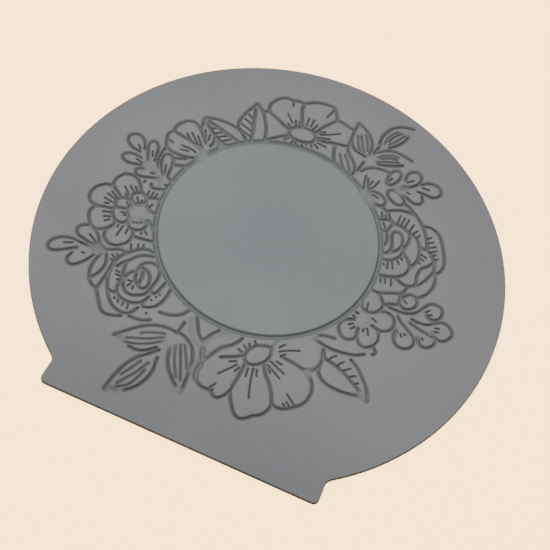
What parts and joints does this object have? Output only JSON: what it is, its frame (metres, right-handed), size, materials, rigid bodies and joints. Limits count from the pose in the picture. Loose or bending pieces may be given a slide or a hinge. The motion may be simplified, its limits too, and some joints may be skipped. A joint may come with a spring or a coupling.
{
  "type": "silicone floral relief mould",
  "caption": "Thin round silicone mould mat with a straight-edged tab; its face carries a floral wreath of grooves round a plain round field.",
  "frame": {"origin": "centre of the round sheet, on its flat underside", "axes": "+Z out of the patterned face, -Y towards the straight-edged tab, +X to the right seen from above with the tab nearest"},
  "size_m": [0.15, 0.1434, 0.0015],
  "materials": {
    "base_silicone": "matt grey silicone, faint cloudiness",
    "face_silicone": "matt grey silicone with a satin bloom"
  },
  "bodies": {
    "root": {"base_sheet": "base_silicone", "berry_sprig_round_bud": "face_silicone", "bottom_anemone_centre": "face_silicone", "bottom_anemone_lower_petal": "face_silicone", "centre_field": "face_silicone", "left_flower_centre": "face_silicone", "left_flower_inner_petal_left": "face_silicone", "left_flower_inner_petal_lower": "face_silicone", "left_flower_inner_petal_lower_left": "face_silicone", "left_flower_inner_petal_right": "face_silicone", "left_flower_inner_petal_top": "face_silicone", "left_flower_left_petal": "face_silicone", "left_flower_lower_left_petal": "face_silicone", "left_flower_lower_petal": "face_silicone", "left_flower_lower_right_petal": "face_silicone", "left_flower_right_petal": "face_silicone", "left_flower_upper_petal": "face_silicone", "left_sprig_leaf_lower": "face_silicone", "left_sprig_leaf_upper": "face_silicone", "lower_left_rose": "face_silicone", "lower_left_rose_heart": "face_silicone", "outer_field": "face_silicone", "right_rose_base_leaf": "face_silicone", "right_rose_base_petal": "face_silicone", "right_rose_heart": "face_silicone", "right_rose_heart_cup": "face_silicone", "right_rose_heart_fold": "face_silicone", "right_rose_inner_petal": "face_silicone", "right_rose_left_petal": "face_silicone", "right_rose_lower_petal": "face_silicone", "right_rose_lower_right_petal": "face_silicone", "right_rose_outer_petal": "face_silicone", "right_rose_side_petal": "face_silicone", "right_rose_tucked_petal": "face_silicone", "right_rose_upper_left_petal": "face_silicone", "right_rose_upper_petal": "face_silicone", "small_flower_upper_petal": "face_silicone", "top_anemone_centre": "face_silicone", "top_anemone_left_petal": "face_silicone", "top_anemone_lower_left_petal": "face_silicone", "top_anemone_lower_petal": "face_silicone", "top_anemone_right_petal": "face_silicone", "top_anemone_upper_petal": "face_silicone", "top_short_leaf": "face_silicone", "upper_left_flower": "face_silicone", "upper_left_leaf_lower_half": "face_silicone", "upper_left_leaf_upper_half": "face_silicone", "upper_left_tall_leaf": "face_silicone", "upper_right_bud_lower": "face_silicone", "upper_right_bud_upper": "face_silicone"}
  },
  "joints": []
}
